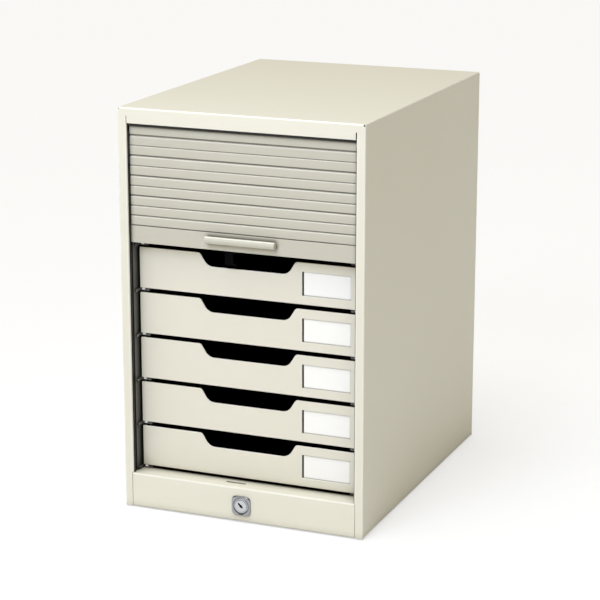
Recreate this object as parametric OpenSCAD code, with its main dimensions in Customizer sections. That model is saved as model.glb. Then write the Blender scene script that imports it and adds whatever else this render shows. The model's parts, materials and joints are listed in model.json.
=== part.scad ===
// Desktop filing cabinet in folded sheet steel: seven sliding drawers behind a
// lockable roll-up shutter. Millimetres, +Z up, the front faces -Y, and the
// origin is under the middle of the whole object.

/* [Case] */
// Overall width
case_w = 280; // [240:1:380]
// Depth of the folded shell, front face to rear face
case_d = 378; // [300:1:480]
// Overall height, feet included
case_h = 446; // [360:1:560]
// Thickness of the folded sheet
sheet = 1; // [0.8:0.1:1.4]
// Outer radius of every fold
bend_r = 1.6; // [1.5:0.1:2.4]
// Width of the post down each side of the front
post_w = 10; // [9:0.5:16]
// Height of the fascia over the opening
fascia_h = 17; // [14:0.5:26]
// Depth of the lip turned in along the edges of the opening
lip_d = 2.6; // [2.4:0.1:2.8]
// Width of the flange round the rear opening
rear_flange_w = 12; // [9:0.5:20]
// Height of the plinth above the table
plinth_h = 39.5; // [37:0.5:60]
// Depth of the ledge on top of the plinth
ledge_d = 25; // [20:0.5:40]

/* [Feet and screws] */
// Height that the feet hold the shell off the table
foot_lift = 1.5; // [1:0.1:4]
// Radius of a foot
foot_r = 6.5; // [4:0.5:12]
// Distance from the shell's sides to the middle of a foot
foot_inset = 30; // [20:1:60]
// Radius of the back panel's screws
screw_r = 1.5; // [1.2:0.1:2.5]
// Radius of a screw's head
screw_head_r = 3.1; // [2.6:0.1:4.5]
// Height of a screw's head
screw_head_h = 1.5; // [1:0.1:2.5]

/* [Drawers] */
// Number of drawers
drawer_count = 7; // [7:1:7]
// Number of drawers below the shutter as it stands
drawers_in_view = 5; // [1:1:5]
// Gap between one front and the next
drawer_gap = 5.1; // [4.6:0.1:8]
// Gap between the plinth's ledge and the lowest front
drawer_lift = 4.2; // [4:0.1:6]
// Room above the top drawer for the shutter's bend
header_h = 53.2; // [46:0.1:80]
// Distance from the case's front face back to the drawers
drawer_recess = 20; // [19:0.5:24]
// Side gap between a front and the opening
drawer_side_gap = 3; // [2:0.1:5]
// Thickness of a front's sheet
front_t = 1.2; // [0.8:0.1:1.4]
// Depth of the flanges folded back at a front's sides
front_flange_d = 9; // [5:0.5:14]
// Thickness of a tray's walls
tray_wall = 1.8; // [1.2:0.1:3]
// Thickness of a tray's floor
tray_floor = 1.6; // [1.2:0.1:3]
// Distance that a front stands above its tray's rim
tray_drop = 4.5; // [2:0.1:8]
// Free room behind the trays
tray_back_gap = 12; // [4:0.5:60]

/* [Finger notch and label] */
// Width of the finger notch along the front's top edge
notch_top_w = 111; // [80:1:120]
// Width of the notch along its bottom
notch_bottom_w = 93; // [60:1:100]
// Depth of the notch
notch_depth = 14.5; // [8:0.5:20]
// Radius of the notch's two lower corners
notch_r = 12; // [4:0.5:14]
// Radius of the notch's two upper corners
notch_lip_r = 4; // [1:0.5:5]
// Width of the label window
window_w = 55; // [30:1:56]
// Height of the label window
window_h = 26; // [14:1:28]
// Distance from the front's right edge to the window
window_inset = 9.4; // [6:0.1:10]
// Distance from the front's top edge to the window
window_drop = 10; // [6:0.5:12]
// Thickness of a label card
card_t = 0.4; // [0.3:0.1:0.5]

/* [Shutter] */
// Gap between the highest drawer in view and the shutter's bar
shutter_gap = 8; // [4:0.1:30]
// Distance from the case's front face back to the shutter's face
shutter_recess = 5.5; // [5.4:0.1:6]
// Thickness of the slats, and of the bar where it runs in the tracks
slat_t = 3; // [2:0.1:3.4]
// Height of one slat
slat_pitch = 10.87; // [8:0.01:14]
// Height of the bottom bar
bar_h = 18.5; // [16:0.5:24]
// Thickness of the bar between the tracks
bar_t = 5.5; // [4:0.1:6]
// Length of the pull handle
handle_l = 80; // [50:1:120]
// Height of the handle's rounded front edge
handle_h = 7.5; // [5:0.1:9]
// Distance that the handle stands out from the bar
handle_out = 8.5; // [7.6:0.1:12]
// Radius of the curtain's bends
curtain_bend_r = 17; // [14:0.5:24]
// Depth of the groove in a track
groove_d = 6.5; // [4:0.1:7]
// Thickness of a track's two lips
track_lip = 1.7; // [1.2:0.1:1.7]

/* [Lock] */
// Width of the lock's escutcheon
escutcheon_w = 22; // [19:0.5:26]
// Height of the lock's centre above the table
lock_z = 19.4; // [19:0.1:21]
// Radius of the lock's barrel
barrel_r = 8.2; // [7.4:0.1:8.6]
// Radius of the turning plug
plug_r = 6.6; // [5:0.1:6.8]
// Reach of the cam from the plug's axis
cam_l = 15; // [12:0.5:15]
// Width of the slot in the ledge for the latch
slot_w = 23.2; // [23:0.1:26]
// Depth of that slot, front to back
slot_d = 3.6; // [3.4:0.1:4]
// Thickness of the latch tongue
latch_t = 2; // [1.5:0.1:2.2]

/* [Hidden] */
$fn = 48;

// Colours
steel_paint = [0.93, 0.91, 0.85];
drawer_paint = [0.90, 0.88, 0.80];
shutter_grey = [0.84, 0.83, 0.78];
frame_grey = [0.24, 0.24, 0.23];
tray_black = [0.06, 0.06, 0.06];
nylon_white = [0.92, 0.92, 0.90];
zinc = [0.70, 0.70, 0.72];
chrome = [0.82, 0.83, 0.85];

// Clearances
slide_gap = 0.3;    // between a piece that slides and what it slides past
turn_gap = 0.05;    // round the plug in its barrel
seat_gap = 0.4;     // round a sheet that sits inside another
fit_gap = 0.1;      // between sheets that are welded or screwed face to face
hole_gap = 0.1;     // round a screw or the barrel in its hole

// The case: half its width, its front and rear faces, its inner faces
half_w = case_w / 2;
handle_proud = handle_out - shutter_recess;
front_y = -(case_d + screw_head_h - handle_proud) / 2;
rear_y = front_y + case_d;
wall_x = half_w - sheet;
opening_x = half_w - post_w;
opening_top = case_h - fascia_h;
back_y = rear_y - 2 * sheet;
floor_z = foot_lift + 2 * sheet;
corner_gap = 2.4;     // open corner where two folds meet
slit_w = 0.8;         // relief cut at each end of the fascia's lip
slit_h = 8;
seam = 0.4;           // joint between the plinth and the posts
post_seam_w = post_w - 1.2;
ledge_lip = 8;        // the ledge's rear edge is turned down this far
base_flange_h = 14;
strip_drop = 2.8;     // the fascia's strip shows this far below the fascia
strip_rise = 10;
strip_inset = 1.3;    // from the opening's edge to the strip's end, past the track's lip
foot_bevel = 0.6;
screw_bevel = 0.4;
screw_tip = 4;        // length of a screw's point in front of the back panel
screw_cross = [0.7, 1.6, 3.4];  // width, twice the depth, and length of the cross recess
screw_low = 53;
lap = 8;              // the base panel lies on the plinth's lower flange this far

// Drawers, counted from the lowest
drawer_bottom = plinth_h + drawer_lift;
drawer_pitch = (case_h - header_h - drawer_bottom + drawer_gap) / drawer_count;
drawer_h = drawer_pitch - drawer_gap;
drawer_y = front_y + drawer_recess;
front_w = 2 * (opening_x - drawer_side_gap);
function drawer_z(n) = drawer_bottom + (n - 1) * drawer_pitch;
card_gap = 0.1;
tray_y = front_t + card_t + 2 * card_gap;
tray_w = front_w - 2 * (front_t + slide_gap);
notch_relief = 1;     // the tray's wall stands this far below the notch
window_x = front_w / 2 - window_inset - window_w / 2;
window_z = drawer_h - window_drop - window_h / 2;
card_shift = 1.7;     // the card sits against the pocket's right end
card_margin = 1.6;    // the card is this much taller than its window
front_corner_r = 1;
front_flange_drop = 1.5;

// Shutter and tracks: the curtain's middle line, as [y, z]
groove_w = slat_t + 1.6;
track_t = groove_w + 2 * track_lip;
curtain_y = front_y + shutter_recess + slat_t / 2;
curtain_z = case_h - sheet - track_t / 2 - slide_gap;
curtain_back_y = back_y - track_t / 2 - seat_gap;
track_drop = 60;      // the track's run down the back
track_show = 1.2;     // the track's front lip stands this far into the opening
track_line = [[curtain_y, plinth_h + seat_gap], [curtain_y, curtain_z],
              [curtain_back_y, curtain_z], [curtain_back_y, curtain_z - track_drop]];
join_z = curtain_z - curtain_bend_r - 2;
shutter_z = drawer_z(drawers_in_view) + drawer_h + shutter_gap;
bar_top = shutter_z + bar_h;
closed_z = plinth_h + slide_gap;
spare_curtain = 15;   // what is still in the bend when the shutter is down
curtain_l = curtain_z - curtain_bend_r - closed_z - bar_h
    + PI / 2 * curtain_bend_r + spare_curtain;
rear_curtain_l = curtain_l - (join_z - bar_top);
guide_x = half_w - sheet - 2.5;
shoe_l = 2.6;
shoe_t = slat_t + 0.8;
bar_end_x = guide_x - seat_gap - shoe_l;
bar_inset = 1.3;      // from the opening's edge to the thick part of the bar
slat_edge = 0.8;      // bevel along the edges of a slat
track_end_x = wall_x - fit_gap;
screw_high = curtain_z - track_drop - 12;
handle_rise = 11.4;   // from the bar's lower edge to the handle's middle
handle_slope = 2.6;   // the handle's upper face falls this far towards the bar

// Side frames, runners and glides
frame_y = curtain_y + track_t / 2 + slide_gap;
frame_back_y = curtain_back_y - track_t / 2 - slide_gap;
frame_t = 2.5;
frame_top = drawer_z(drawer_count) + drawer_h + 5;
runner_w = 13;
runner_h = 2.7;
runner_tab_w = 2.4;
runner_y = drawer_y + 2;
runner_end_gap = 10;
glide_nose = 1.5;
glide_h = 0.6;
glide_w = 3.2;
glide_l = 40;
glide_x = opening_x - 6.5;

// Lock and latch
lock_axis = [0, front_y, lock_z];
escutcheon_t = 1.9;
escutcheon_power = 4.5;
escutcheon_step = 1.2;
barrel_step = 0.57;   // the barrel's rim stands this far behind the escutcheon's face
plug_step = 0.19;
keyway_w = 1.9;
keyway_low = -2.6;
keyway_high = 4.4;
keyway_r = 1.5;
keyway_d = 6;
barrel_l = 11.5;
plug_l = 12.8;
tail_r = 3;
cam_t = 2.2;
cam_w = 5;
cam_screw_l = 3;
cam_screw_head = [4, 2];        // radius and height
nut_r = barrel_r + 4.4;
nut_t = 3;
slot_x = -12;
slot_y = front_y + 14.3;
latch_y = slot_y - latch_t / 2;
latch_w = slot_w - 1.2;
latch_lobe = 2.3;     // the bit of the tongue that the cam holds
latch_reach = 3.1;    // its lower edge stands this far above the lock's axis
latch_margin = 3;     // from the bar's edges to the latch's foot
hook_x = -0.63 * cam_l;         // the tongue's right edge beside the cam
hook_w = 4;
cam_top = lock_z + cam_l + 1.4; // clear of the cam's swing

// Points of a path with its corners rounded: r is one radius, or one for each point
function radius_at(r, i) = is_list(r) ? r[i] : r;
function unit(v) = v / norm(v);
function corner(a, b, c, r, steps) =
    let (u = unit(a - b), v = unit(c - b), half = acos(u * v) / 2,
         middle = b + unit(u + v) * r / sin(half),
         p = b + u * r / tan(half) - middle, q = b + v * r / tan(half) - middle,
         start = atan2(p[1], p[0]),
         sweep = atan2(p[0] * q[1] - p[1] * q[0], p * q))
    [for (i = [0:steps]) middle + r * [cos(start + sweep * i / steps),
                                       sin(start + sweep * i / steps)]];
function rounded(points, r, steps = 5) = concat(
    [points[0]],
    [for (i = [1:len(points) - 2])
        each (radius_at(r, i) > 0
            ? corner(points[i - 1], points[i], points[i + 1], radius_at(r, i), steps)
            : [points[i]])],
    [points[len(points) - 1]]);

// A path moved sideways: to the left of its direction for d above 0
function beside(path, d) = [for (i = [0:len(path) - 1])
    let (last = len(path) - 1,
         a = unit(path[max(i, 1)] - path[max(i, 1) - 1]),
         b = unit(path[min(i, last - 1) + 1] - path[min(i, last - 1)]),
         m = unit(a + b))
    path[i] + [-m[1], m[0]] * d / (m * a)];
function reversed(path) = [for (i = [len(path) - 1:-1:0]) path[i]];

// The first part of a path, of length l
function first_part(path, l, i = 0) =
    i >= len(path) - 1 ? [path[i]]
    : let (step = norm(path[i + 1] - path[i]))
      step >= l ? [path[i], path[i] + (path[i + 1] - path[i]) * l / step]
      : concat([path[i]], first_part(path, l - step, i + 1));

// Section of a sheet of thickness |t| laid along a path, and of a band centred on it
module section(path, t) polygon(concat(path, reversed(beside(path, t))));
module band(path, t) polygon(concat(beside(path, t / 2), reversed(beside(path, -t / 2))));

// Extrusions between two planes: of an outline in X and Y, in X and Z, or in Y and Z
module along_z(z0, z1) translate([0, 0, z0]) linear_extrude(z1 - z0) children();
module along_y(y0, y1) translate([0, y1, 0]) rotate([90, 0, 0]) linear_extrude(y1 - y0) children();
module along_x(x0, x1) translate([x0, 0, 0]) rotate([90, 0, 90]) linear_extrude(x1 - x0) children();
module box(low, high) translate(low) cube(high - low);

// A piece drawn on the left, for side -1, or its mirror on the right, for side 1
module handed(side) mirror([side > 0 ? 1 : 0, 0, 0]) children();

// ---- Case ----

module screw_places() {
    for (side = [-1, 1], z = [screw_low, (screw_low + screw_high) / 2, screw_high])
        translate([side * (half_w - rear_flange_w / 2), 0, z]) children();
    for (side = [-1, 1])
        translate([side * half_w * 0.4, 0, case_h - rear_flange_w / 2]) children();
}
module screw_holes() screw_places()
    along_y(back_y - 1, rear_y + 1) circle(screw_r + hole_gap);

module post_and_flange() {
    post = [[-half_w, front_y + 2 * bend_r], [-half_w, front_y], [-opening_x, front_y]];
    along_z(plinth_h + seam, case_h - corner_gap)
        section(rounded(concat(post, [[-opening_x, front_y + lip_d]]), bend_r), sheet);
    along_z(foot_lift, plinth_h + seam)
        section(rounded([post[0], post[1], [post_seam_w - half_w, front_y]], bend_r), sheet);
    along_z(foot_lift, case_h - corner_gap)
        section(rounded([[-half_w, rear_y - 2 * bend_r], [-half_w, rear_y],
                         [rear_flange_w - half_w, rear_y]], bend_r), -sheet);
}
module fascia() {
    face = [[front_y + 2 * bend_r, case_h], [front_y, case_h]];
    along_x(corner_gap - half_w, half_w - corner_gap)
        section(rounded(concat(face, [[front_y, opening_top + slit_h]]), bend_r), sheet);
    along_x(slit_w - opening_x, opening_x - slit_w)
        section(rounded(concat(face, [[front_y, opening_top],
                                      [front_y + lip_d, opening_top]]), bend_r), sheet);
}
module outer_shell() color(steel_paint) difference() {
    union() {
        along_y(front_y + bend_r, rear_y - bend_r)
            section(rounded([[post_seam_w - half_w, foot_lift], [-half_w, foot_lift],
                             [-half_w, case_h], [half_w, case_h], [half_w, foot_lift],
                             [half_w - post_seam_w, foot_lift]], bend_r), -sheet);
        for (side = [-1, 1]) handed(side) post_and_flange();
        fascia();
        along_x(corner_gap - half_w, half_w - corner_gap)
            section(rounded([[rear_y - 2 * bend_r, case_h], [rear_y, case_h],
                             [rear_y, case_h - rear_flange_w]], bend_r), -sheet);
    }
    screw_holes();
}

// A black strip hangs behind the fascia's lip, just clear of the slats
module fascia_strip() color(tray_black)
    box([strip_inset - opening_x, front_y + lip_d, opening_top - strip_drop],
        [opening_x - strip_inset, front_y + shutter_recess - slide_gap,
         opening_top + strip_rise]);

module plinth() color(steel_paint) difference() {
    along_x(seam + post_seam_w - half_w, half_w - post_seam_w - seam)
        section(rounded([[front_y + ledge_d, plinth_h - ledge_lip],
                         [front_y + ledge_d, plinth_h],
                         [front_y, plinth_h], [front_y, foot_lift],
                         [front_y + ledge_d + lap, foot_lift]], bend_r), sheet);
    translate(lock_axis) along_y(-1, sheet + 1) circle(barrel_r + hole_gap);
    box([slot_x - slot_w / 2, slot_y - slot_d / 2, plinth_h - 2 * sheet],
        [slot_x + slot_w / 2, slot_y + slot_d / 2, plinth_h + 1]);
}

module base_panel() color(steel_paint) {
    x = wall_x - fit_gap;
    z = foot_lift + sheet;
    along_y(front_y + ledge_d + sheet, back_y - seat_gap)
        section(rounded([[-x, z + base_flange_h], [-x, z], [x, z], [x, z + base_flange_h]],
                        bend_r), sheet);
}

module back_panel() color(steel_paint) difference() {
    x = half_w - bend_r - fit_gap;
    box([-x, back_y, floor_z], [x, back_y + sheet, case_h - bend_r - fit_gap]);
    screw_holes();
}

module back_screws() color(zinc) screw_places() difference() {
    union() {
        along_y(rear_y, rear_y + screw_head_h - screw_bevel) circle(screw_head_r);
        along_y(rear_y, rear_y + screw_head_h) circle(screw_head_r - screw_bevel);
        along_y(back_y - screw_tip, rear_y) circle(screw_r);
    }
    for (turn = [0, 90]) translate([0, rear_y + screw_head_h, 0]) rotate([0, turn, 0])
        cube([screw_cross[0], screw_cross[1], screw_cross[2]], center = true);
}

module foot(side, end) color(frame_grey)
    translate([side * (half_w - foot_inset),
               end < 0 ? front_y + foot_inset + ledge_d : rear_y - foot_inset, 0])
        union() {
            cylinder(h = foot_lift + sheet, r = foot_r - foot_bevel);
            translate([0, 0, foot_bevel])
                cylinder(h = foot_lift + sheet - foot_bevel, r = foot_r);
        }

// ---- Side frames, runners and shutter tracks ----

module side_frame(side) color(frame_grey) handed(side) {
    bottom = plinth_h + seat_gap;
    box([-opening_x - frame_t, frame_y, bottom], [-opening_x, frame_back_y, frame_top]);
    for (y = [frame_y, (frame_y + frame_back_y) / 2, frame_back_y - frame_t])
        box([-track_end_x, y, bottom], [-opening_x - frame_t, y + frame_t, frame_top]);
}

module runners(side) color(frame_grey) handed(side) for (n = [1:drawer_count]) {
    top = drawer_z(n) - slide_gap - glide_h;
    box([-opening_x, frame_y + sheet, top - runner_h],
        [runner_tab_w - opening_x, runner_y, top]);
    box([-opening_x, runner_y, top - runner_h],
        [runner_w - opening_x, frame_back_y - runner_end_gap, top]);
}

module runner_glides() color(nylon_white)
    for (side = [-1, 1], n = [1:drawer_count]) handed(side) {
        top = drawer_z(n) - slide_gap;
        box([-glide_x - glide_w / 2, runner_y, top - glide_h],
            [-glide_x + glide_w / 2, drawer_y + glide_l, top]);
        box([-glide_x - glide_w / 2, runner_y - glide_nose, top - runner_h + glide_h],
            [-glide_x + glide_w / 2, runner_y, top]);
    }

module shutter_track(side) color(frame_grey) handed(side) {
    line = rounded(track_line, curtain_bend_r, 8);
    difference() {
        along_x(-track_end_x, -opening_x) band(line, track_t);
        along_x(-opening_x - groove_d, 1 - opening_x)
            band(rounded([track_line[0] - [0, 1], track_line[1], track_line[2],
                          track_line[3] - [0, 1]], curtain_bend_r, 8), groove_w);
    }
    box([-opening_x - track_lip, curtain_y - track_t / 2, track_line[0][1]],
        [track_show - opening_x, curtain_y - groove_w / 2, join_z]);
}

// ---- Lock ----

module at_lock() translate(lock_axis) children();

// A square with bulging sides and small corners
module barrel_square(w) polygon([for (a = [0:5:355])
    w / 2 * [sign(cos(a)) * pow(abs(cos(a)), 2 / escutcheon_power),
             sign(sin(a)) * pow(abs(sin(a)), 2 / escutcheon_power)]]);

module lock_escutcheon() color(chrome) at_lock() difference() {
    union() {
        along_y(-escutcheon_t / 2, 0) barrel_square(escutcheon_w);
        along_y(-escutcheon_t, -escutcheon_t / 2) barrel_square(escutcheon_w - escutcheon_step);
    }
    along_y(-escutcheon_t - 1, 1) circle(barrel_r + hole_gap);
}

module lock_barrel() color(zinc) at_lock() difference() {
    along_y(barrel_step - escutcheon_t, barrel_l) circle(barrel_r);
    along_y(-escutcheon_t - 1, barrel_l + 1) circle(plug_r + turn_gap);
}

module lock_nut() color(zinc) at_lock() difference() {
    along_y(sheet, sheet + nut_t) circle(nut_r, $fn = 6);
    along_y(0, sheet + nut_t + 1) circle(barrel_r + turn_gap);
}

module lock_plug() color(chrome) at_lock() difference() {
    union() {
        along_y(plug_step - escutcheon_t, plug_l) circle(plug_r);
        along_y(plug_l, plug_l + cam_t) circle(tail_r);
    }
    rotate([0, -45, 0]) {
        box([-keyway_w / 2, -escutcheon_t - 1, keyway_low], [keyway_w / 2, keyway_d, keyway_high]);
        along_y(-escutcheon_t - 1, keyway_d) circle(keyway_r);
    }
    along_y(plug_l - cam_screw_l - 1, plug_l + cam_t + 1) circle(screw_r);
}

// The cam points up and to the right here, and turns to the left to lock
module lock_cam() color(zinc) at_lock() rotate([0, 45, 0]) difference() {
    along_y(plug_l + turn_gap, plug_l + cam_t) union() {
        circle(cam_w);
        translate([-cam_w / 2, 0]) square([cam_w, cam_l]);
    }
    along_y(plug_l - 1, plug_l + cam_t + 1) circle(tail_r + turn_gap);
}

module cam_screw() color(zinc) at_lock() {
    along_y(plug_l + cam_t, plug_l + cam_t + cam_screw_head[1]) circle(cam_screw_head[0]);
    along_y(plug_l - cam_screw_l, plug_l + cam_t) circle(screw_r - turn_gap);
}

// ---- Shutter ----

module shutter_bar() color(shutter_grey) translate([0, front_y + shutter_recess, shutter_z]) {
    box([-bar_end_x, 0, 0], [bar_end_x, slat_t, bar_h]);
    box([bar_inset - opening_x, 0, slat_edge], [opening_x - bar_inset, bar_t, bar_h - slat_edge]);
}

module shutter_handle() color(shutter_grey) {
    centre = [front_y + shutter_recess - handle_out + handle_h / 2, shutter_z + handle_rise];
    along_x(-handle_l / 2, handle_l / 2) {
        translate(centre) circle(handle_h / 2);
        polygon([centre + [0, handle_h / 2], centre + [0, -handle_h / 2],
                 [front_y + shutter_recess, centre[1] - handle_h / 2],
                 [front_y + shutter_recess, centre[1] + handle_h / 2 - handle_slope]]);
    }
}

module shutter_latch() color(tray_black) {
    rise = shutter_z - closed_z;      // from the shutter's lowest place to this one
    low = lock_z + latch_reach;
    x0 = slot_x - latch_w / 2;
    x1 = slot_x + latch_w / 2;
    top = closed_z + bar_h - latch_margin;
    translate([0, 0, rise]) {
        along_y(latch_y, latch_y + latch_t) polygon([
            [x0, low], [hook_x, low], [hook_x, low + latch_lobe],
            [hook_x - hook_w, low + latch_lobe], [hook_x - hook_w, cam_top],
            [x1, cam_top], [x1, top], [x0, top]]);
        box([x0, front_y + shutter_recess + bar_t, closed_z + latch_margin],
            [x1, latch_y, top]);
    }
}

module shutter_shoe(side) color(nylon_white) handed(side)
    box([-bar_end_x - shoe_l, curtain_y - shoe_t / 2, shutter_z + slat_edge],
        [-bar_end_x, curtain_y + shoe_t / 2, bar_top - slat_edge]);

// The curtain's part in the opening: crowned slats joined by a thin web
module curtain_front() color(shutter_grey) {
    slats = ceil((join_z - bar_top) / slat_pitch);
    along_x(-bar_end_x - shoe_l, bar_end_x + shoe_l) intersection() {
        translate([curtain_y - slat_t / 2, bar_top]) polygon(concat(
            [for (k = [0:slats - 1]) each [[slat_edge, k * slat_pitch],
                                           [0, k * slat_pitch + slat_edge],
                                           [0, (k + 1) * slat_pitch - slat_edge]]],
            [[slat_edge, slats * slat_pitch], [slat_t, slats * slat_pitch], [slat_t, 0]]));
        translate([curtain_y - slat_t, bar_top]) square([2 * slat_t, join_z - bar_top]);
    }
}

// The rest of the curtain: round the bend and back under the top
module curtain_rear() color(shutter_grey) {
    line = rounded(concat([[curtain_y, join_z + 0.1]],
                          [for (i = [1:3]) track_line[i]]), curtain_bend_r, 8);
    along_x(-bar_end_x - shoe_l, bar_end_x + shoe_l) band(first_part(line, rear_curtain_l), slat_t);
}

// ---- Drawers ----

module at_drawer(n) translate([0, drawer_y, drawer_z(n)]) children();

// The front's outline without its window; grow lowers and widens the notch
module front_outline(w, h, grow = 0) {
    top = notch_top_w / 2 + grow;
    bottom = notch_bottom_w / 2 + grow;
    deep = drawer_h - notch_depth - grow;
    slope = (top - bottom) / notch_depth;
    side = bottom + slope * (h - deep);
    polygon(rounded([[-w / 2, 0], [-w / 2, h], [-side, h], [-bottom, deep],
                     [bottom, deep], [side, h], [w / 2, h], [w / 2, 0]],
                    [0, front_corner_r, notch_lip_r, notch_r,
                     notch_r, notch_lip_r, front_corner_r, 0], 8));
}

module drawer_front(n) color(drawer_paint) at_drawer(n) {
    difference() {
        along_y(0, front_t) front_outline(front_w, drawer_h);
        translate([window_x, 0, window_z])
            cube([window_w, 4 * front_t, window_h], center = true);
    }
    for (side = [-1, 1]) handed(side)
        box([-front_w / 2, 0, 0],
            [front_t - front_w / 2, front_flange_d, drawer_h - front_flange_drop]);
}

module drawer_tray(n) color(tray_black) at_drawer(n) {
    length = frame_back_y - tray_back_gap - drawer_y - tray_y;
    rim = drawer_h - tray_drop;
    x = tray_w / 2;
    intersection() {
        difference() {
            box([-x, tray_y, 0], [x, tray_y + length, rim]);
            box([tray_wall - x, tray_y + tray_wall, tray_floor],
                [x - tray_wall, tray_y + length - tray_wall, rim + 1]);
        }
        union() {
            along_y(tray_y, tray_y + tray_wall) front_outline(tray_w, rim, notch_relief);
            box([-x, tray_y + tray_wall, 0], [x, tray_y + length, rim]);
        }
    }
}

module label_card(n) color("white") at_drawer(n)
    translate([window_x + card_shift, front_t + card_gap + card_t / 2, window_z])
        cube([window_w, card_t, window_h + card_margin], center = true);

outer_shell();
fascia_strip();
plinth();
base_panel();
back_panel();
back_screws();
foot(-1, -1);  // foot_front_left
foot(1, -1);  // foot_front_right
foot(-1, 1);  // foot_rear_left
foot(1, 1);  // foot_rear_right
side_frame(-1);  // side_frame_left
side_frame(1);  // side_frame_right
runners(-1);  // runners_left
runners(1);  // runners_right
runner_glides();
shutter_track(-1);  // shutter_track_left
shutter_track(1);  // shutter_track_right
lock_escutcheon();
lock_barrel();
lock_nut();
lock_plug();
lock_cam();
cam_screw();
shutter_bar();
shutter_handle();
shutter_latch();
shutter_shoe(-1);  // shutter_shoe_left
shutter_shoe(1);  // shutter_shoe_right
curtain_front();
curtain_rear();
for (n = [1:drawer_count]) {
    drawer_front(n);
    drawer_tray(n);
    label_card(n);
}
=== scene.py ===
# A desktop filing cabinet in folded sheet steel: seven drawers behind a lockable roll-up
# shutter. The script follows the cabinet as it is put together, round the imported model.
import json
import math

import bmesh
import bpy
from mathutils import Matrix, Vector


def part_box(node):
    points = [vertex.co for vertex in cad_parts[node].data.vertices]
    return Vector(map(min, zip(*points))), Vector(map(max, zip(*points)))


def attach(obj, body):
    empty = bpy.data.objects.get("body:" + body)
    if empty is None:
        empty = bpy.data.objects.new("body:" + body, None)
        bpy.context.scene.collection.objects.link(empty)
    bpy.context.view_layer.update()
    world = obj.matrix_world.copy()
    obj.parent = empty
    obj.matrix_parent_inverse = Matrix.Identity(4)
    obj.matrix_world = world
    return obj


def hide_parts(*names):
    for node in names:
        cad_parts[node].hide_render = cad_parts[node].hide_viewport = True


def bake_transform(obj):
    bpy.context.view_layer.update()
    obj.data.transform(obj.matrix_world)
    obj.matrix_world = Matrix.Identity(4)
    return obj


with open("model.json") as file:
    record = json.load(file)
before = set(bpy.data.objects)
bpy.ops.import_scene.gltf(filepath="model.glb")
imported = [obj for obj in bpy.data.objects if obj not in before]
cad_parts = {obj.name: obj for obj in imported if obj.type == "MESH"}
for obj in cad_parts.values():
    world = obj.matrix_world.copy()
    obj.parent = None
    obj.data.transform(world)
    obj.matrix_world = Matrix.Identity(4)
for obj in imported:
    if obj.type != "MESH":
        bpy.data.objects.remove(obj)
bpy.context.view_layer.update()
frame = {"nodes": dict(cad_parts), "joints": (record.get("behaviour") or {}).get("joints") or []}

scene = bpy.context.scene
MM = 0.001
WELD = 0.002 * MM             # points closer than this are one point

# ---- Camera ----
# A long lens, a little above the cabinet and to the right of its front, as a catalogue
# photographer stands to show the front, the top and one side together.
CAMERA_AZIMUTH = math.radians(22.36)
CAMERA_ELEVATION = math.radians(14.89)
CAMERA_DISTANCE = 2.384
CAMERA_AIM = Vector((-0.0089, 0, 0.2024))
CAMERA_LENS = 125.4
SENSOR_WIDTH = 36
VIEW_DEPTH = 50


def direction(azimuth, elevation):
    """A unit vector; azimuth turns from the cabinet's front towards its right side."""
    return Vector((math.sin(azimuth) * math.cos(elevation),
                   -math.cos(azimuth) * math.cos(elevation), math.sin(elevation)))


def aimed(thing, away):
    """Turns a camera or a light, both of which look down their own -Z, to look along -away."""
    thing.rotation_euler = away.to_track_quat("Z", "Y").to_euler()
    scene.collection.objects.link(thing)


away = direction(CAMERA_AZIMUTH, CAMERA_ELEVATION)
camera = bpy.data.objects.new("camera", bpy.data.cameras.new("camera"))
camera.data.lens = CAMERA_LENS
camera.data.sensor_width = SENSOR_WIDTH
camera.data.clip_end = VIEW_DEPTH
camera.location = CAMERA_AIM + away * CAMERA_DISTANCE
aimed(camera, away)
scene.camera = camera

# ---- Studio ----
# A white sweep under one broad overhead source, with a soft panel in front of the cabinet's
# upper half and a pale surround that fills the shaded side. Nothing here belongs to it.
OVERHEAD_AZIMUTH = math.radians(-30)
OVERHEAD_ELEVATION = math.radians(80)
OVERHEAD_STRENGTH = 2.82
OVERHEAD_WIDTH = math.radians(60)
OVERHEAD_COLOUR = (0.945, 0.95, 0.97)
PANEL_PLACE = Vector((-0.08, -1.0, 1.0))
PANEL_AIM = Vector((0, -0.19, 0.4))
PANEL_SIZE = 0.5
PANEL_WATTS = 3.2
PANEL_SPREAD = math.radians(120)
PANEL_COLOUR = (0.78, 0.84, 1)
SURROUND_STRENGTH = 0.12
SURROUND_COLOUR = (1, 0.8, 0.3, 1)
BACKDROP_STRENGTH = 1
WHITE = (1, 1, 1, 1)
SWEEP_GLOW = 0.55             # how much of the sweep's look comes from behind it
SWEEP_HALF = 14


def add(tree, kind, sockets=None, **settings):
    """Adds a node; sockets maps an input's name or number to a value or another node's output."""
    made = tree.nodes.new(kind)
    for key, value in settings.items():
        setattr(made, key, value)
    for key, value in (sockets or {}).items():
        if isinstance(value, bpy.types.NodeSocket):
            tree.links.new(value, made.inputs[key])
        else:
            made.inputs[key].default_value = value
    return made


def colour(hex_value):
    """An sRGB hex colour as the linear values that shaders take."""
    parts = [int(hex_value[i:i + 2], 16) / 255 for i in (1, 3, 5)]
    return [p / 12.92 if p <= 0.04045 else ((p + 0.055) / 1.055) ** 2.4 for p in parts] + [1]


def finish_named(name):
    """A new material with its shader, its output and the surface's own coordinates."""
    made = bpy.data.materials.new(name)
    made.use_nodes = True
    made.node_tree.nodes.clear()
    tree = made.node_tree
    shader = add(tree, "ShaderNodeBsdfPrincipled")
    add(tree, "ShaderNodeOutputMaterial", {"Surface": shader.outputs["BSDF"]})
    place = add(tree, "ShaderNodeTexCoord").outputs["Object"]
    return made, tree, shader, place


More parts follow.
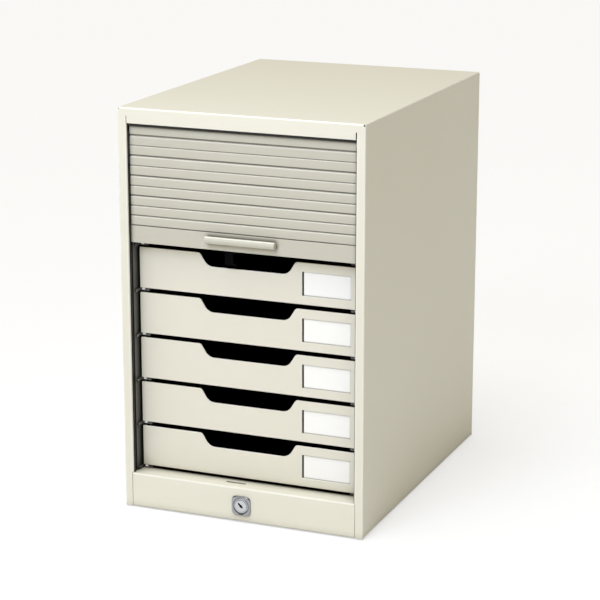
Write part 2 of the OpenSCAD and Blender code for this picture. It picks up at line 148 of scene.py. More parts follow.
def mottled(tree, place, scale, detail, one_hex, other_hex):
    """Noise over a surface, and a colour that wanders with it between two close tones."""
    noise = add(tree, "ShaderNodeTexNoise", {"Vector": place, "Scale": scale,
                                             "Detail": detail}).outputs["Fac"]
    return noise, add(tree, "ShaderNodeMix", {0: noise, 6: colour(one_hex),
                                              7: colour(other_hex)}, data_type="RGBA").outputs[2]


def shaded_in(tree, clean, dark_hex, reach, start, end):
    """Paints shade into a colour: darkens it where other surfaces within reach close it in."""
    open_sky = add(tree, "ShaderNodeAmbientOcclusion", {"Distance": reach}, samples=8)
    closeness = add(tree, "ShaderNodeMapRange", {"Value": open_sky.outputs["AO"],
                                                 1: start, 2: end, 3: 1.0, 4: 0.0})
    return add(tree, "ShaderNodeMix", {0: closeness.outputs["Result"], 6: clean,
                                       7: colour(dark_hex)}, data_type="RGBA").outputs[2]


scene.view_settings.view_transform = "Standard"
world = bpy.data.worlds.new("surround")
world.use_nodes = True
world.node_tree.nodes.clear()
sky = world.node_tree
light = add(sky, "ShaderNodeBackground", {
    "Color": SURROUND_COLOUR, "Strength": SURROUND_STRENGTH})
seen = add(sky, "ShaderNodeBackground", {"Color": WHITE, "Strength": BACKDROP_STRENGTH})
mixed = add(sky, "ShaderNodeMixShader", {
    0: add(sky, "ShaderNodeLightPath").outputs["Is Camera Ray"],
    1: light.outputs[0], 2: seen.outputs[0]})
add(sky, "ShaderNodeOutputWorld", {"Surface": mixed.outputs[0]})
scene.world = world

overhead = bpy.data.objects.new("overhead", bpy.data.lights.new("overhead", "SUN"))
overhead.data.energy = OVERHEAD_STRENGTH
overhead.data.angle = OVERHEAD_WIDTH
overhead.data.color = OVERHEAD_COLOUR
aimed(overhead, direction(OVERHEAD_AZIMUTH, OVERHEAD_ELEVATION))

panel = bpy.data.objects.new("front_panel", bpy.data.lights.new("front_panel", "AREA"))
panel.data.energy = PANEL_WATTS
panel.data.size = PANEL_SIZE
panel.data.spread = PANEL_SPREAD
panel.data.color = PANEL_COLOUR
panel.location = PANEL_PLACE
aimed(panel, PANEL_PLACE - PANEL_AIM)

floor_mesh = bpy.data.meshes.new("floor")
floor_mesh.from_pydata([(-SWEEP_HALF, -SWEEP_HALF, 0), (SWEEP_HALF, -SWEEP_HALF, 0),
                        (SWEEP_HALF, SWEEP_HALF, 0), (-SWEEP_HALF, SWEEP_HALF, 0)],
                       [], [(0, 1, 2, 3)])
floor = bpy.data.objects.new("floor", floor_mesh)
scene.collection.objects.link(floor)
sweep, tree, shader, place = finish_named("matt white studio sweep")
tint = mottled(tree, place, 40, 3, "#f9f9f8", "#fcfcfb")[1]
tree.links.new(tint, shader.inputs["Base Color"])
shader.inputs["Roughness"].default_value = 0.9
# the sweep is lit from behind as well, which the camera sees but the cabinet doesn't
glow = add(tree, "ShaderNodeEmission", {"Strength": 1.0})
looked_at = add(tree, "ShaderNodeLightPath").outputs["Is Camera Ray"]
glow_part = add(tree, "ShaderNodeMath", {0: looked_at, 1: SWEEP_GLOW}, operation="MULTIPLY")
lit = add(tree, "ShaderNodeMixShader", {0: glow_part.outputs[0], 1: shader.outputs["BSDF"],
                                        2: glow.outputs[0]})
tree.links.new(lit.outputs[0], tree.nodes["Material Output"].inputs["Surface"])
floor_mesh.materials.append(sweep)


# ---- Pieces that keep their CAD shape ----
# Most pieces are the CAD node's own shape with its edges broken and a finish put on it.
def highlights_marked(piece, is_highlit):
    """Stores 1 on the narrow faces that round an edge or a fold, where the finishes paint a
    highlight, and 0 on the broad faces.
    """
    mark = piece.data.attributes.new("edge", "FLOAT", "FACE")
    mark.data.foreach_set("value", [float(is_highlit(f.normal)) for f in piece.data.polygons])


def oblique(normal):
    """True for a face that is square to none of the cabinet's three directions."""
    return max(abs(c) for c in normal) < 0.995


def applied(piece):
    """Turns what the modifiers make of a piece into its plain mesh."""
    ready = piece.evaluated_get(bpy.context.evaluated_depsgraph_get())
    mesh = bpy.data.meshes.new_from_object(ready)
    piece.modifiers.clear()
    piece.data = mesh
    mesh.name = piece.name
    return piece


def softened(piece, radius, segments=2):
    """Rounds every sharp edge of a piece and lets the shading follow its large faces."""
    for face in piece.data.polygons:
        face.use_smooth = True
    rounding = piece.modifiers.new("rounding", "BEVEL")
    rounding.width = radius
    rounding.segments = segments
    rounding.limit_method = "ANGLE"
    rounding.angle_limit = math.radians(35)
    piece.modifiers.new("shading", "WEIGHTED_NORMAL").weight = 80
    return applied(piece)


def finished(node, body, material, radius=0.2 * MM, segments=2, is_highlit=oblique):
    """A CAD node's own shape with whole faces, broken edges, its finish and the mark for its
    painted highlights.
    """
    shape = bmesh.new()
    shape.from_mesh(frame["nodes"][node].data)
    bmesh.ops.remove_doubles(shape, verts=shape.verts, dist=WELD)
    bmesh.ops.dissolve_limit(shape, angle_limit=math.radians(0.5),
                             verts=shape.verts, edges=shape.edges)
    mesh = bpy.data.meshes.new(node + "_finished")
    shape.to_mesh(mesh)
    shape.free()
    mesh.materials.clear()
    mesh.materials.append(material)
    piece = bpy.data.objects.new(node + "_finished", mesh)
    scene.collection.objects.link(piece)
    softened(piece, radius, segments)
    highlights_marked(piece, is_highlit)
    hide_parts(node)
    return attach(piece, body)


def satin_skin(name, body_hex, warm_hex, highlight_hex, shade_hex, roughness):
    """Powder coat cured on steel, or a fine moulded grain: an even satin colour with a faint
    peel about 1.5 mm across, with a painted highlight on folds and edges and painted shade in
    creases."""
    made, tree, shader, place = finish_named(name)
    body = mottled(tree, place, 9, 2, body_hex, warm_hex)[1]
    edge = add(tree, "ShaderNodeAttribute", attribute_name="edge")
    # a painted highlight on the faces marked as edges, then painted shade in the creases
    highlighted = add(tree, "ShaderNodeMix", {0: edge.outputs["Fac"], 6: body,
                                          7: colour(highlight_hex)}, data_type="RGBA")
    tree.links.new(shaded_in(tree, highlighted.outputs[2], shade_hex, 20 * MM, 0.2, 0.75),
                   shader.inputs["Base Color"])
    peel = add(tree, "ShaderNodeTexNoise", {"Vector": place, "Scale": 650, "Detail": 2})
    gloss = add(tree, "ShaderNodeMapRange", {"Value": peel.outputs["Fac"],
                                             3: roughness - 0.05, 4: roughness + 0.05})
    tree.links.new(gloss.outputs["Result"], shader.inputs["Roughness"])
    relief = add(tree, "ShaderNodeBump", {"Height": peel.outputs["Fac"],
                                          "Strength": 0.12, "Distance": 0.05 * MM})
    tree.links.new(relief.outputs["Normal"], shader.inputs["Normal"])
    return made


# ---- Outer shell ----
# The shell is one sheet of 1 mm steel, notched and folded round the sides, top and front,
# then powder-coated in ivory. Each fold keeps a small radius that catches light, with a highlight
# painted on it.
# the ivory coat's folds get a painted highlight, #efecdf, and its creases painted shade, #aaa48b
case_coat = satin_skin("powder-coated steel, ivory", "#e7e4d3", "#e5e1cf", "#efecdf",
                       "#aaa48b", 0.42)
finished("outer_shell", "case", case_coat)

# ---- Plinth and base panel ----
# The plinth is a folded channel let in between the posts, with a ledge on top that the
# shutter closes on. The base panel is a shallow pan welded inside the shell behind it.
finished("plinth", "case", case_coat)
finished("base_panel", "case", case_coat)

# ---- Feet ----
# Four moulded rubber buttons are pushed into the base. Moulded rubber looks dull and
# slightly chalky, with no gloss.
rubber, tree, shader, place = finish_named("moulded black rubber")
dust = mottled(tree, place, 900, 4, "#1c1c1b", "#2b2a28")[1]
tree.links.new(dust, shader.inputs["Base Color"])
shader.inputs["Roughness"].default_value = 0.85
for corner in ("front_left", "front_right", "rear_left", "rear_right"):
    finished(f"foot_{corner}", "case", rubber, 0.3 * MM, 3)

# ---- Back panel and its screws ----
# The back is a flat painted sheet behind the rear flange, held by eight zinc-plated
# pan-head screws with cross recesses.
finished("back_panel", "case", case_coat, 0.15 * MM)

zinc, tree, shader, place = finish_named("zinc plate, clear passivated")
film = mottled(tree, place, 400, 3, "#b9bbc0", "#d3d2cb")[1]
tree.links.new(film, shader.inputs["Base Color"])
shader.inputs["Metallic"].default_value = 1
shader.inputs["Roughness"].default_value = 0.34


def node_tree(name, **inputs):
    """A Geometry Nodes tree with one geometry in and out, a material, and named sizes."""
    tree = bpy.data.node_groups.new(name, "GeometryNodeTree")
    tree.interface.new_socket("Geometry", in_out="INPUT", socket_type="NodeSocketGeometry")
    for label, kind in {**inputs, "Material": "Material"}.items():
        tree.interface.new_socket(label.replace("_", " "), in_out="INPUT",
                                  socket_type="NodeSocket" + kind)
    tree.interface.new_socket("Geometry", in_out="OUTPUT", socket_type="NodeSocketGeometry")
    return tree, add(tree, "NodeGroupInput").outputs


def tree_ends(tree, given, geometry):
    """Makes instances real and gives them their material, as the last step of every tree."""
    real = add(tree, "GeometryNodeRealizeInstances", {"Geometry": geometry})
    coated = add(tree, "GeometryNodeSetMaterial", {"Geometry": real.outputs[0],
                                                   "Material": given["Material"]})
    add(tree, "NodeGroupOutput", {"Geometry": coated.outputs[0]})


def grown(name, tree, points, edges, material, **sizes):
    """Runs a tree on a few points and edges, and keeps what it makes as a plain closed mesh."""
    mesh = bpy.data.meshes.new(name)
    mesh.from_pydata(points, edges, [])
    piece = bpy.data.objects.new(name, mesh)
    scene.collection.objects.link(piece)
    growth = piece.modifiers.new(tree.name, "NODES")
    growth.node_group = tree
    given = {label.replace("_", " "): value for label, value in sizes.items()}
    given["Material"] = material
    for item in tree.interface.items_tree:
        if item.name in given:
            growth[item.identifier] = given[item.name]
    applied(piece)
    shape = bmesh.new()
    shape.from_mesh(piece.data)
    bmesh.ops.remove_doubles(shape, verts=shape.verts, dist=WELD)
    bmesh.ops.recalc_face_normals(shape, faces=shape.faces)
    shape.to_mesh(piece.data)
    shape.free()
    return piece


SCREW_HEAD_H = 1.5 * MM
SCREW_HEAD_R = 3.1 * MM
SCREW_SHAFT_R = 1.5 * MM
SCREW_SHAFT_L = 6 * MM
RECESS_SIZE = (0.7 * MM, 3.4 * MM, 1.6 * MM)   # of each of the two slots that cross

# One screw stands on each point with its head towards +Y.
screw_tree, given = node_tree("pan head screws", Head_radius="Float", Head_height="Float",
                              Shaft_radius="Float", Shaft_length="Float")
ball = add(screw_tree, "GeometryNodeMeshUVSphere", {"Segments": 32, "Rings": 16, "Radius": 1})
stretch = add(screw_tree, "ShaderNodeCombineXYZ", {
    "X": given["Head radius"], "Y": given["Head radius"], "Z": given["Head height"]})
dome = add(screw_tree, "GeometryNodeTransform", {"Geometry": ball.outputs["Mesh"],
                                                 "Scale": stretch.outputs[0]})
spot = add(screw_tree, "GeometryNodeInputPosition").outputs[0]
above = add(screw_tree, "ShaderNodeVectorMath", {0: spot, 1: (-1, -1, 0)}, operation="MAXIMUM")
seated = add(screw_tree, "GeometryNodeSetPosition", {"Geometry": dome.outputs[0],
                                                     "Position": above.outputs[0]})
head = add(screw_tree, "GeometryNodeMergeByDistance", {"Geometry": seated.outputs[0],
                                                       "Distance": WELD})
blade = add(screw_tree, "GeometryNodeMeshCube", {"Size": RECESS_SIZE})
blade_up = add(screw_tree, "ShaderNodeCombineXYZ", {"Z": given["Head height"]})
cut_a = add(screw_tree, "GeometryNodeTransform", {"Geometry": blade.outputs["Mesh"],
                                                  "Translation": blade_up.outputs[0]})
cut_b = add(screw_tree, "GeometryNodeTransform", {
    "Geometry": cut_a.outputs[0], "Rotation": (0, 0, math.pi / 2)})
once = add(screw_tree, "GeometryNodeMeshBoolean", {0: head.outputs[0], 1: cut_a.outputs[0]},
           operation="DIFFERENCE")
twice = add(screw_tree, "GeometryNodeMeshBoolean", {0: once.outputs[0], 1: cut_b.outputs[0]},
            operation="DIFFERENCE")
shaft = add(screw_tree, "GeometryNodeMeshCylinder", {
    "Vertices": 24, "Radius": given["Shaft radius"], "Depth": given["Shaft length"]})
half_down = add(screw_tree, "ShaderNodeMath", {0: given["Shaft length"], 1: -0.5},
                operation="MULTIPLY")
shaft_at = add(screw_tree, "ShaderNodeCombineXYZ", {"Z": half_down.outputs[0]})
sunk = add(screw_tree, "GeometryNodeTransform", {"Geometry": shaft.outputs["Mesh"],
                                                 "Translation": shaft_at.outputs[0]})
whole = add(screw_tree, "GeometryNodeJoinGeometry")
for part in (twice, sunk):
    screw_tree.links.new(part.outputs[0], whole.inputs[0])
placed = add(screw_tree, "GeometryNodeInstanceOnPoints", {
    "Points": given["Geometry"], "Instance": whole.outputs[0],
    "Rotation": (-math.pi / 2, 0, 0)})
tree_ends(screw_tree, given, placed.outputs[0])


def solids_of(node):
    """The boxes of the separate solids of a CAD node, lowest corner and highest corner."""
    shape = bmesh.new()
    shape.from_mesh(frame["nodes"][node].data)
    bmesh.ops.remove_doubles(shape, verts=shape.verts, dist=WELD)
    left = set(shape.verts)
    boxes = []
    while left:
        group = [left.pop()]
        for vertex in group:
            for other in (e.other_vert(vertex) for e in vertex.link_edges):
                if other in left:
                    left.remove(other)
                    group.append(other)
        boxes.append([Vector([pick(v.co[axis] for v in group) for axis in range(3)])
                      for pick in (min, max)])
    shape.free()
    return boxes


screw_seats = [((lo.x + hi.x) / 2, hi.y - SCREW_HEAD_H, (lo.z + hi.z) / 2)
               for lo, hi in solids_of("back_screws")]
screws = grown("back_screws_finished", screw_tree, screw_seats, [], zinc,
               Head_radius=SCREW_HEAD_R, Head_height=SCREW_HEAD_H,
               Shaft_radius=SCREW_SHAFT_R, Shaft_length=SCREW_SHAFT_L)
screws.data.set_sharp_from_angle(angle=math.radians(35))
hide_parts("back_screws")
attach(screws, "case")

# ---- Side frames, runners and glides ----
# Inside each wall stands a charcoal moulded frame that carries a runner for every drawer.
# White nylon glides clip onto the runners' front ends and the trays slide on them.
# painted highlight, #98978f, on the frames' edges, and painted shade, #161615, in their creases
frame_resin = satin_skin("moulded ABS, charcoal", "#6b6b66", "#63625d", "#98978f",
                         "#161615", 0.5)
for side in ("left", "right"):
    finished(f"side_frame_{side}", "case", frame_resin, 0.3 * MM)
    finished(f"runners_{side}", "case", frame_resin, 0.2 * MM)

nylon, tree, shader, place = finish_named("moulded white nylon")
milky = mottled(tree, place, 300, 2, "#f3f2ec", "#e6e4da")[1]
tree.links.new(milky, shader.inputs["Base Color"])
shader.inputs["Roughness"].default_value = 0.4
shader.inputs["Subsurface Weight"].default_value = 0.15
shader.inputs["Subsurface Scale"].default_value = 1 * MM
finished("runner_glides", "case", nylon, 0.15 * MM)

# ---- Shutter tracks ----
# A black extruded channel runs up behind each post, round under the top and down the back.
# Extruded PVC has a soft sheen and fine lines along its length.
track_vinyl, tree, shader, place = finish_named("extruded black PVC")
smoke = mottled(tree, place, 500, 3, "#0b0b0b", "#111110")[1]
tree.links.new(smoke, shader.inputs["Base Color"])
shader.inputs["Roughness"].default_value = 0.45
for side in ("left", "right"):
    finished(f"shutter_track_{side}", "case", track_vinyl, 0.2 * MM)
finished("fascia_strip", "case", track_vinyl, 0.15 * MM)

# ---- Lock ----
# A cam lock in the plinth: a chromed die-cast escutcheon, a zinc barrel held by a nut
# behind the sheet, and a plug that turns with the key and swings the cam.
def chrome_plate(name, bright_hex, dim_hex):
    """Chrome over a zinc casting, with painted shade in its creases."""
    made, tree, shader, place = finish_named(name)
    haze, silver = mottled(tree, place, 1200, 2, bright_hex, dim_hex)
    polish = add(tree, "ShaderNodeMapRange", {"Value": haze, 3: 0.1, 4: 0.2})
    tree.links.new(polish.outputs["Result"], shader.inputs["Roughness"])
    # painted shade, #060607, in the creases
    tree.links.new(shaded_in(tree, silver, "#060607", 2 * MM, 0.45, 0.99),
                   shader.inputs["Base Color"])
    shader.inputs["Metallic"].default_value = 1
    return made


chrome = chrome_plate("chrome plate, bright", "#c9cbce", "#b9bcbf")
# the escutcheon's plate is the bright chrome made darker: painted shade in what it reflects
shaded_chrome = chrome_plate("chrome plate, darkened", "#a2a4a7", "#929497")

finished("lock_barrel", "case", chrome, 0.25 * MM, 3)
finished("lock_nut", "case", zinc, 0.2 * MM)
finished("lock_plug", "lock_core", chrome, 0.15 * MM)
finished("lock_cam", "lock_core", zinc, 0.2 * MM)
finished("cam_screw", "lock_core", zinc, 0.2 * MM)

ESCUTCHEON_POWER = 4.5        # how square its outline is
ESCUTCHEON_POINTS = 96
SHOULDER_W = 0.9 * MM
HOLE_ROOM = 0.1 * MM
low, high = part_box("lock_escutcheon")
lock_centre = (low + high) / 2
escutcheon_r = (high.x - low.x) / 2
barrel_low, barrel_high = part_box("lock_barrel")
barrel_r = (barrel_high.x - barrel_low.x) / 2


def escutcheon_ring(reach, y, squareness):
    """A loop of points round the lock: a bulging square at squareness 1, a circle at 0."""
    power = 2 + (ESCUTCHEON_POWER - 2) * squareness
    loop = []
    for i in range(ESCUTCHEON_POINTS):
        c, s = (f(2 * math.pi * i / ESCUTCHEON_POINTS) for f in (math.cos, math.sin))
        loop.append((lock_centre.x + reach * math.copysign(abs(c) ** (2 / power), c), y,
                     lock_centre.z + reach * math.copysign(abs(s) ** (2 / power), s)))
    return loop


def stacked(name, rings, material):
    """A closed skin over a stack of loops, the last of which joins the first."""
    count = len(rings[0])
    faces = []
    for r in range(len(rings)):
        below, above = r * count, (r + 1) % len(rings) * count
        faces += [(below + i, below + (i + 1) % count, above + (i + 1) % count, above + i)
                  for i in range(count)]
    mesh = bpy.data.meshes.new(name)
    mesh.from_pydata([p for ring in rings for p in ring], [], faces)
    mesh.materials.append(material)
    shape = bmesh.new()
    shape.from_mesh(mesh)
    bmesh.ops.recalc_face_normals(shape, faces=shape.faces)
    shape.to_mesh(mesh)
    shape.free()
    for face in mesh.polygons:
        face.use_smooth = True
    piece = bpy.data.objects.new(name, mesh)
    scene.collection.objects.link(piece)
    return piece


back_y, proud = high.y, high.y - low.y
hole_r = barrel_r + HOLE_ROOM
rings = [escutcheon_ring(escutcheon_r, back_y, 1),
         escutcheon_ring(escutcheon_r, back_y - 0.45 * proud, 1)]
for turn in (0.3, 0.6, 1.0):              # the rounded shoulder
    angle = turn * math.pi / 2
    rings.append(escutcheon_ring(escutcheon_r - SHOULDER_W * (1 - math.cos(angle)),
                                 back_y - (0.45 + 0.5 * math.sin(angle)) * proud, 1))
# over the face, down into a groove round the barrel, up its lip and through to the back
for beyond_hole, rise, squareness in ((1.5, 0.97, 0.3), (1.1, 0.8, 0), (0.7, 0.8, 0),
                                      (0.4, 1, 0), (0, 0.9, 0), (0, 0, 0)):
    rings.append(escutcheon_ring(hole_r + beyond_hole * MM, back_y - rise * proud, squareness))
escutcheon = stacked("lock_escutcheon_finished", rings, shaded_chrome)
escutcheon.data.set_sharp_from_angle(angle=math.radians(50))
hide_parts("lock_escutcheon")
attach(escutcheon, "case")

# ---- Drawers ----
# Each drawer is a black moulded polystyrene tray behind a painted steel front. The front has
# a finger notch in its top edge and a window, and a white card stands behind the window.
# the drawer coat paints a highlight, #fbf9f2, on the fronts' cut edges, and shade, #aaa48b, in
# creases
drawer_coat = satin_skin("powder-coated steel, pale ivory", "#e6e2d2", "#e3dfcd",
                         "#fbf9f2", "#aaa48b", 0.42)

polystyrene, tree, shader, place = finish_named("moulded black polystyrene")
spark = add(tree, "ShaderNodeTexNoise", {"Vector": place, "Scale": 2500, "Detail": 2})
pooled, soot = mottled(tree, place, 12, 2, "#101010", "#171716")
tree.links.new(soot, shader.inputs["Base Color"])
sheen = add(tree, "ShaderNodeMapRange", {"Value": pooled, 3: 0.38, 4: 0.5})
tree.links.new(sheen.outputs["Result"], shader.inputs["Roughness"])
texture = add(tree, "ShaderNodeBump", {"Height": spark.outputs["Fac"],
                                       "Strength": 0.25, "Distance": 0.03 * MM})
tree.links.new(texture.outputs["Normal"], shader.inputs["Normal"])

card_stock, tree, shader, place = finish_named("white card stock")
fibre, pulp = mottled(tree, place, 2200, 4, "#fffef9", "#fbfaf4")
# painted shade, #8f8d84, darkens the card where the window's edges close in round it
tree.links.new(shaded_in(tree, pulp, "#8f8d84", 2 * MM, 0.5, 0.95),
               shader.inputs["Base Color"])
shader.inputs["Roughness"].default_value = 0.95
nap = add(tree, "ShaderNodeBump", {"Height": fibre, "Strength": 0.2,
                                   "Distance": 0.03 * MM})
tree.links.new(nap.outputs["Normal"], shader.inputs["Normal"])

# Shallow ribs stiffen each tray's floor and keep papers from sticking to it.
RIB_COUNT = 9
RIB_SPACING = 25 * MM
RIB_R = 1.4 * MM
RIB_H = 0.7 * MM
RIB_MARGIN = 12 * MM          # from a rib's end to the outside of the tray
TRAY_FLOOR = 1.6 * MM
rib_tree, given = node_tree("floor ribs", Count="Int", Spacing="Float", Radius="Float",
                            Height="Float")
spine = add(rib_tree, "GeometryNodeMeshToCurve", {"Mesh": given["Geometry"]})
hoop = add(rib_tree, "GeometryNodeCurvePrimitiveCircle", {"Resolution": 12,
                                                          "Radius": given["Radius"]})
rod = add(rib_tree, "GeometryNodeCurveToMesh", {"Curve": spine.outputs[0], 1: hoop.outputs[0],
                                                "Fill Caps": True})
squat = add(rib_tree, "ShaderNodeMath", {0: given["Height"], 1: given["Radius"]},
            operation="DIVIDE")
squat_scale = add(rib_tree, "ShaderNodeCombineXYZ", {"X": 1, "Y": 1, "Z": squat.outputs[0]})
rib = add(rib_tree, "GeometryNodeTransform", {"Geometry": rod.outputs[0],
                                              "Scale": squat_scale.outputs[0]})
step = add(rib_tree, "ShaderNodeCombineXYZ", {"X": given["Spacing"]})
row = add(rib_tree, "GeometryNodeMeshLine", {"Count": given["Count"],
                                             "Offset": step.outputs[0]}, mode="OFFSET")
ribs = add(rib_tree, "GeometryNodeInstanceOnPoints", {"Points": row.outputs[0],
                                                      "Instance": rib.outputs[0]})
tree_ends(rib_tree, given, ribs.outputs[0])


def not_facing_front(normal):
    """True on the cut edges of a drawer front, where a highlight is painted."""
    return abs(normal.y) < 0.9


drawer_count = sum(name.startswith("drawer_front_") for name in frame["nodes"])
for n in range(1, drawer_count + 1):
    body = f"drawer_{n}"
    finished(f"drawer_front_{n}", body, drawer_coat, 0.6 * MM, 3,
             not_facing_front)
    finished(f"drawer_tray_{n}", body, polystyrene, 0.5 * MM, 3)
    finished(f"label_card_{n}", body, card_stock, 0.08 * MM)
    low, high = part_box(f"drawer_tray_{n}")
    first = -RIB_SPACING * (RIB_COUNT - 1) / 2
    ribs = grown(f"tray_ribs_{n}", rib_tree,
                 [(first, low.y + RIB_MARGIN, 0), (first, high.y - RIB_MARGIN, 0)], [(0, 1)],
                 polystyrene, Count=RIB_COUNT, Spacing=RIB_SPACING, Radius=RIB_R, Height=RIB_H)
    for vertex in ribs.data.vertices:
        vertex.co.z += low.z + TRAY_FLOOR
    for face in ribs.data.polygons:
        face.use_smooth = True
    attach(ribs, body)

# ---- Shutter bar, handle, latch and shoes ----
# The shutter's lowest member is a heavier extruded bar with a pull rail along its middle.
# Nylon shoes on its ends run in the tracks, and a tongue on its back takes the lock's cam.
# The latch is black nylon made darker than nylon is, #030303 to #070707, with almost no
# reflection: painted shade where it shows through a drawer's notch.
dull_black, tree, shader, place = finish_named("moulded black nylon")
pitch = mottled(tree, place, 300, 2, "#030303", "#070707")[1]
tree.links.new(pitch, shader.inputs["Base Color"])
shader.inputs["Roughness"].default_value = 0.7
shader.inputs["Specular IOR Level"].default_value = 0.05

shutter_resin, tree, shader, place = finish_named("extruded ABS, warm grey")
along = add(tree, "ShaderNodeMapping", {"Vector": place, "Scale": (0.03, 1, 1)})
drawn, streak = mottled(tree, along.outputs[0], 1400, 3, "#c7c4b4", "#c3bfae")
# painted highlight, #e6e3d5, on the faces marked as edges: the slats' upward bevels and the
# handle's top
edge = add(tree, "ShaderNodeAttribute", attribute_name="edge")
top_highlighted = add(tree, "ShaderNodeMix", {0: edge.outputs["Fac"], 6: streak,
                                     7: colour("#e6e3d5")}, data_type="RGBA")
# painted shade, #77756a, on the back faces of each slat's lower groove
recess = add(tree, "ShaderNodeAttribute", attribute_name="recess")
groove_shaded = add(tree, "ShaderNodeMix", {0: recess.outputs["Fac"], 6: top_highlighted.outputs[2],
                                     7: colour("#77756a")}, data_type="RGBA")
# painted shade, #7b786b, where the handle and the slat grooves close in
tree.links.new(shaded_in(tree, groove_shaded.outputs[2], "#7b786b", 5 * MM, 0.45, 0.95),
               shader.inputs["Base Color"])
shader.inputs["Roughness"].default_value = 0.5
lines = add(tree, "ShaderNodeBump", {"Height": drawn, "Strength": 0.15,
                                     "Distance": 0.03 * MM})
tree.links.new(lines.outputs["Normal"], shader.inputs["Normal"])

finished("shutter_bar", "shutter", shutter_resin, 0.45 * MM, 3)
# the handle's top faces are marked for the painted highlight
finished("shutter_handle", "shutter", shutter_resin, 0.3 * MM, 2,
         lambda normal: normal.z > 0.8)
finished("shutter_latch", "shutter", dull_black, 0.25 * MM)
for side in ("left", "right"):
    finished(f"shutter_shoe_{side}", "shutter", nylon, 0.3 * MM)

# ---- Slats in the opening ----
# The curtain is a row of extruded slats hinged edge to edge. A slat's weight is the share
# of the bar's travel worked out for it: the lowest takes all of it and rides on the bar, the
# highest takes little, and nothing here moves the others. Slats that the case would swallow as it
# opens sit tucked in behind those in view.
SLAT_PITCH = 10.87 * MM
SLAT_EDGE_D = 1.0 * MM        # how far a slat's edges fall back from its face
SLAT_GROOVE = 1.3 * MM        # height of the groove along its lower edge
SLAT_UPPER = 1.25 * MM        # height of the bevel along its upper edge
SLAT_STEP = 0.2 * MM          # height over which it comes forward from the groove
SLAT_CORNER = 0.2 * MM
SLAT_WALL = 0.26 * MM
SLAT_ROOM = 0.05 * MM         # between slats, and behind the face of the CAD curtain
SLAT_BEHIND = 1.3 * MM        # from a slat in view to the first one tucked in behind it
SLAT_LAYER = 0.27 * MM        # from each tucked-in slat to the next
SLAT_TUCK = 2 * MM            # how much lower a slat sits once it is tucked in
SLAT_END_ROOM = 0.2 * MM      # between a slat that clears the tracks' bend and the tracks
CEILING_ROOM = 0.4 * MM
SHELL_SHEET = 1 * MM
FASCIA_COVER = 17 * MM        # from the shell's top down to the highest slat's lower edge

slat_tree, given = node_tree("slat", Length="Float", Wall="Float", Corner="Float")
outline = add(slat_tree, "GeometryNodeMeshToCurve", {"Mesh": given["Geometry"]})
eased = add(slat_tree, "GeometryNodeFilletCurve", {
    "Curve": outline.outputs[0], "Radius": given["Corner"], "Count": 3}, mode="POLY")
section = add(slat_tree, "GeometryNodeCurveToMesh", {"Curve": eased.outputs[0]})
span = add(slat_tree, "ShaderNodeCombineXYZ", {"X": given["Length"]})
skin = add(slat_tree, "GeometryNodeExtrudeMesh", {
    "Mesh": section.outputs[0], "Offset": span.outputs[0]}, mode="EDGES")
wall = add(slat_tree, "GeometryNodeExtrudeMesh", {
    "Mesh": skin.outputs[0], "Offset Scale": given["Wall"], "Individual": False}, mode="FACES")
other_skin = add(slat_tree, "GeometryNodeFlipFaces", {0: skin.outputs[0]})
both = add(slat_tree, "GeometryNodeJoinGeometry")
for part in (wall, other_skin):
    slat_tree.links.new(part.outputs[0], both.inputs[0])
tree_ends(slat_tree, given, both.outputs[0])

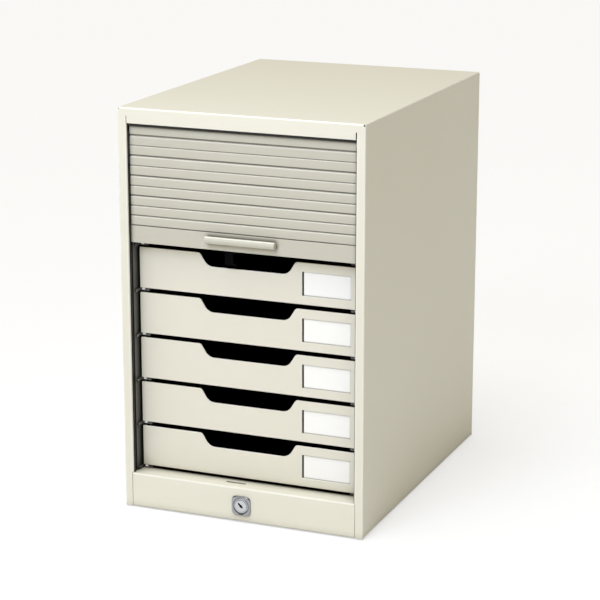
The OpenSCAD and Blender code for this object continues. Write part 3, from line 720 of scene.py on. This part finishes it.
bar_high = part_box("shutter_bar")[1]
curtain_low, curtain_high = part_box("curtain_front")
shell_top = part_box("outer_shell")[1].z
slide = next(j for j in frame["joints"] if j["name"] == "shutter_slide")
travel_down, travel_up = -slide["range_m"][0], slide["range_m"][1]
closed_bottom = bar_high.z - travel_down
slat_count = math.floor((shell_top - FASCIA_COVER - closed_bottom) / SLAT_PITCH) + 1
share = travel_up / (travel_up + travel_down)
highest_rest = shell_top - SHELL_SHEET - SLAT_PITCH - CEILING_ROOM
track_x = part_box("shutter_track_left")[1].x
layers = {}
for j in range(slat_count):
    place_in_row = math.ceil(j * share - 0.01)
    closed_z = closed_bottom + j * SLAT_PITCH
    layer = layers.get(place_in_row, 0)
    layers[place_in_row] = layer + 1
    rest_z = bar_high.z + place_in_row * SLAT_PITCH - (SLAT_TUCK if layer else 0)
    weight = (rest_z - closed_z) / travel_down
    if rest_z + weight * travel_up > highest_rest:
        rest_z = (highest_rest + closed_z * share / (1 - share)) * (1 - share)
        weight = (rest_z - closed_z) / travel_down
    face_y = curtain_low.y + SLAT_ROOM
    if layer:
        face_y += SLAT_BEHIND + (layer - 1) * SLAT_LAYER
    left_x, right_x = curtain_low.x, curtain_high.x
    if rest_z + SLAT_PITCH + max(weight, 0) * travel_up > curtain_high.z:
        left_x, right_x = track_x + SLAT_END_ROOM, -track_x - SLAT_END_ROOM
    slat = grown(f"slat_{j + 1:02d}", slat_tree,
                 [(left_x, face_y + SLAT_EDGE_D, rest_z + SLAT_ROOM),
                  (left_x, face_y + SLAT_EDGE_D, rest_z + SLAT_GROOVE),
                  (left_x, face_y, rest_z + SLAT_GROOVE + SLAT_STEP),
                  (left_x, face_y, rest_z + SLAT_PITCH - SLAT_UPPER),
                  (left_x, face_y + SLAT_EDGE_D, rest_z + SLAT_PITCH - SLAT_ROOM)],
                 [(0, 1), (1, 2), (2, 3), (3, 4)], shutter_resin,
                 Length=right_x - left_x, Wall=SLAT_WALL, Corner=SLAT_CORNER)
    for face in slat.data.polygons:
        face.use_smooth = True
    # the upward bevels are marked for the painted highlight, the faces at the back of the lower
    # groove for painted shade
    highlights_marked(slat, lambda normal: normal.y < -0.2 and normal.z > 0.2)
    sunk = slat.data.attributes.new("recess", "FLOAT", "FACE")
    sunk.data.foreach_set("value", [float(f.center.y > face_y + 0.6 * SLAT_EDGE_D
                                          and f.center.z < rest_z + SLAT_PITCH / 2)
                                    for f in slat.data.polygons])
    slat.data.set_sharp_from_angle(angle=math.radians(40))
    if j == 0:
        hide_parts("curtain_front")
    if weight > 0.9999:
        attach(slat, "shutter")
        continue
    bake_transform(slat)

# ---- Curtain under the top ----
# The rest of the curtain goes round the front bend and lies under the top in the tracks.
# Its front end starts above the highest place that a slat in the opening rises to.
REAR_ROOM = 0.3 * MM
FRONT_BEND_Y = -0.1           # everything ahead of this belongs to the front bend
rear = finished("curtain_rear", "case", shutter_resin, 0.1 * MM)
start_z = bar_high.z + travel_up + SLAT_PITCH + REAR_ROOM
shape = bmesh.new()
shape.from_mesh(rear.data)
near_front = [part for group in (shape.verts, shape.edges, shape.faces) for part in group
              if all(v.co.y < FRONT_BEND_Y for v in getattr(part, "verts", [part]))]
bmesh.ops.bisect_plane(shape, geom=near_front, plane_co=(0, 0, start_z),
                       plane_no=(0, 0, -1), clear_outer=True)
bmesh.ops.holes_fill(shape, edges=[e for e in shape.edges if e.is_boundary], sides=0)
shape.to_mesh(rear.data)
shape.free()
